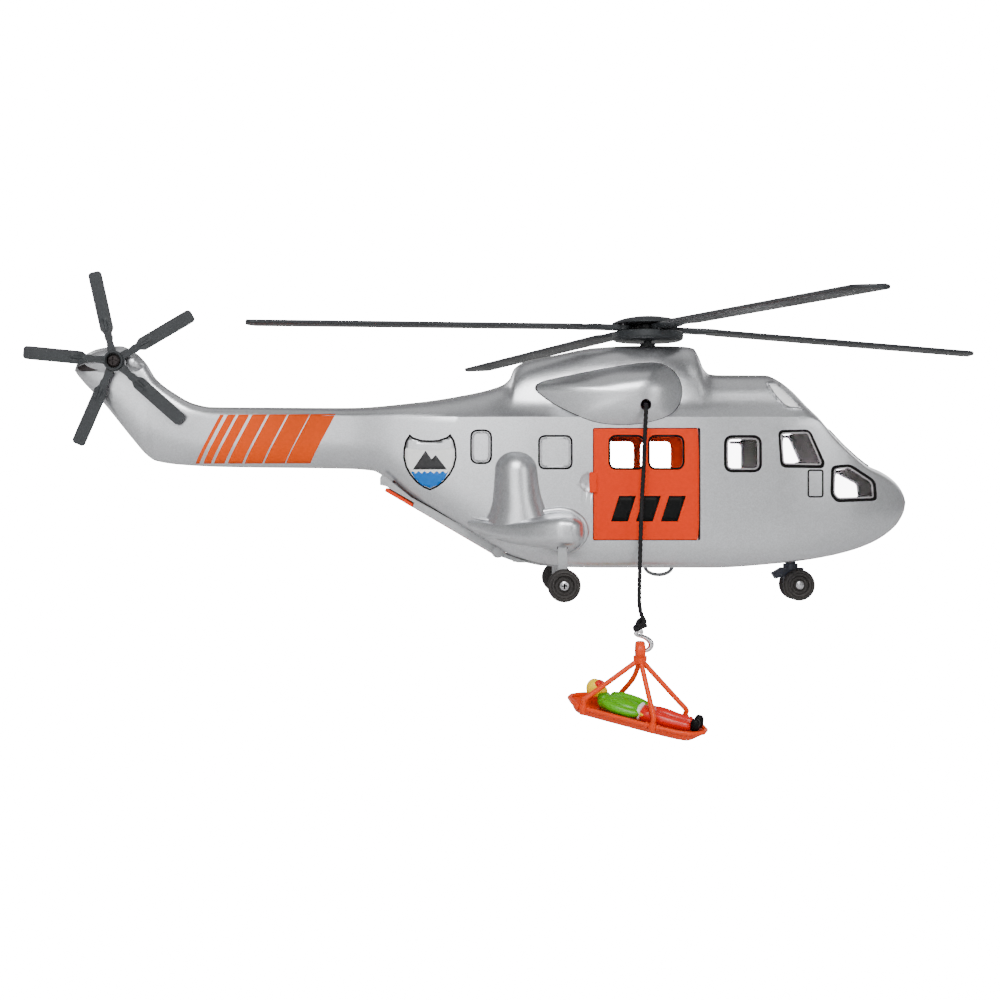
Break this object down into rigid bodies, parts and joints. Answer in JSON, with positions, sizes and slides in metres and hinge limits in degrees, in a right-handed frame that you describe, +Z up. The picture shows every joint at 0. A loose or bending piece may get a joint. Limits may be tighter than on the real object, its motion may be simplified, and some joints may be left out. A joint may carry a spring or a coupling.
{
  "type": "helicopter scale model",
  "caption": "Toy transport helicopter in flight with folding rotor blades, opening side doors and rear ramp, swivelling nose wheels and a stretcher hung from its hoist cord.",
  "frame": {"origin": "on the centre line at belly level, below the main rotor's axis; a hand or stand holds the model there in flight", "axes": "+X to the nose, +Y to port, +Z up"},
  "size_m": [0.3782, 0.2835, 0.1732],
  "materials": {
    "silver_paint": "satin metallic",
    "orange_plastic": "semi-gloss",
    "dark_grey_plastic": "matte",
    "light_grey_plastic": "satin",
    "steel": "polished",
    "tyre_plastic": "matte",
    "navy_plastic": "matte",
    "clear_plastic": "smoky clear",
    "cord_black": "twisted cord",
    "figure_paint": "painted, several colours"
  },
  "bodies": {
    "airframe": {"base_plate": "light_grey_plastic", "cabin_interior": "dark_grey_plastic", "cargo_ring": "dark_grey_plastic", "cockpit_glazing": "clear_plastic", "door_hinge_pin_left": "steel", "door_hinge_pin_right": "steel", "fuselage_left_shell": "silver_paint", "fuselage_right_shell": "silver_paint", "main_axle_left": "steel", "main_axle_right": "steel", "main_strut_left": "light_grey_plastic", "main_strut_right": "light_grey_plastic", "nacelle_left": "silver_paint", "nacelle_right": "silver_paint", "ramp_hinge_pin": "steel", "tail_rotor_screw": "steel"},
    "main_rotor": {"main_mast": "dark_grey_plastic", "hub_lower_disc": "dark_grey_plastic", "hub_upper_disc": "dark_grey_plastic", "blade_1_pin": "steel", "blade_2_pin": "steel", "blade_3_pin": "steel", "blade_4_pin": "steel"},
    "blade_1": {"blade_1": "dark_grey_plastic"},
    "blade_2": {"blade_2": "dark_grey_plastic"},
    "blade_3": {"blade_3": "dark_grey_plastic"},
    "blade_4": {"blade_4": "dark_grey_plastic"},
    "tail_rotor": {"tail_rotor": "dark_grey_plastic"},
    "main_wheel_right": {"main_wheel_right": "tyre_plastic"},
    "main_wheel_left": {"main_wheel_left": "tyre_plastic"},
    "nose_gear": {"nose_leg": "navy_plastic", "nose_axle": "steel"},
    "nose_wheel_right": {"nose_wheel_right": "tyre_plastic"},
    "nose_wheel_left": {"nose_wheel_left": "tyre_plastic"},
    "door_right": {"door_right": "orange_plastic"},
    "door_left": {"door_left": "orange_plastic"},
    "rear_ramp": {"rear_ramp": "orange_plastic"},
    "hoist_load": {"hoist_cord": "cord_black", "hoist_knot": "cord_black", "hoist_hook": "steel", "stretcher_harness": "orange_plastic", "stretcher_basket": "orange_plastic", "figure": "figure_paint"},
    "winch": {"winch_drum": "dark_grey_plastic", "winch_knob": "dark_grey_plastic", "wound_cord": "cord_black"}
  },
  "joints": [
    {"name": "main_rotor_spin", "type": "hinge", "parent": "airframe", "child": "main_rotor", "pos_m": [0, 0, 0.085], "axis": [0, 0, 1], "continuous": true},
    {"name": "blade_1_fold", "type": "hinge", "parent": "main_rotor", "child": "blade_1", "pos_m": [0.00918, 0.00396, 0.0907], "axis": [0, 0, 1], "range_deg": [-25, 25]},
    {"name": "blade_2_fold", "type": "hinge", "parent": "main_rotor", "child": "blade_2", "pos_m": [-0.00441, 0.00897, 0.0907], "axis": [0, 0, 1], "range_deg": [-25, 25]},
    {"name": "blade_3_fold", "type": "hinge", "parent": "main_rotor", "child": "blade_3", "pos_m": [-0.00941, -0.00339, 0.0907], "axis": [0, 0, 1], "range_deg": [-25, 25]},
    {"name": "blade_4_fold", "type": "hinge", "parent": "main_rotor", "child": "blade_4", "pos_m": [0.00345, -0.00938, 0.0907], "axis": [0, 0, 1], "range_deg": [-25, 25]},
    {"name": "tail_rotor_spin", "type": "hinge", "parent": "airframe", "child": "tail_rotor", "pos_m": [-0.202, -0.0068, 0.0779], "axis": [0, 1, 0], "continuous": true},
    {"name": "main_wheel_right_spin", "type": "hinge", "parent": "airframe", "child": "main_wheel_right", "pos_m": [-0.0334, -0.039, -0.0055], "axis": [0, 1, 0], "continuous": true},
    {"name": "main_wheel_left_spin", "type": "hinge", "parent": "airframe", "child": "main_wheel_left", "pos_m": [-0.0334, 0.039, -0.0055], "axis": [0, 1, 0], "continuous": true},
    {"name": "nose_gear_swivel", "type": "hinge", "parent": "airframe", "child": "nose_gear", "pos_m": [0.0545, 0, 0.001], "axis": [0, 0, 1], "continuous": true},
    {"name": "nose_wheel_right_spin", "type": "hinge", "parent": "nose_gear", "child": "nose_wheel_right", "pos_m": [0.0569, -0.0046, -0.0068], "axis": [0, 1, 0], "continuous": true},
    {"name": "nose_wheel_left_spin", "type": "hinge", "parent": "nose_gear", "child": "nose_wheel_left", "pos_m": [0.0569, 0.0046, -0.0068], "axis": [0, 1, 0], "continuous": true},
    {"name": "door_right_hinge", "type": "hinge", "parent": "airframe", "child": "door_right", "pos_m": [0.0166, -0.01995, 0.031], "axis": [0, 0, 1], "range_deg": [0, 80]},
    {"name": "door_left_hinge", "type": "hinge", "parent": "airframe", "child": "door_left", "pos_m": [0.0166, 0.01995, 0.031], "axis": [0, 0, -1], "range_deg": [0, 80]},
    {"name": "ramp_hinge", "type": "hinge", "parent": "airframe", "child": "rear_ramp", "pos_m": [-0.0571, 0, 0.0062], "axis": [0, -1, 0], "range_deg": [0, 40]},
    {"name": "hoist_lift", "type": "slide", "parent": "airframe", "child": "hoist_load", "axis": [0, 0, 1], "range_m": [0, 0.042], "deforming": ["hoist_cord"]},
    {"name": "winch_turn", "type": "hinge", "parent": "airframe", "child": "winch", "pos_m": [-0.015, 0, 0.064], "axis": [0, 1, 0], "range_deg": [0, 690]}
  ],
  "couplings": [
    {"joint": "winch_turn", "follows": "hoist_lift", "rad_per_m": 285.7}
  ]
}
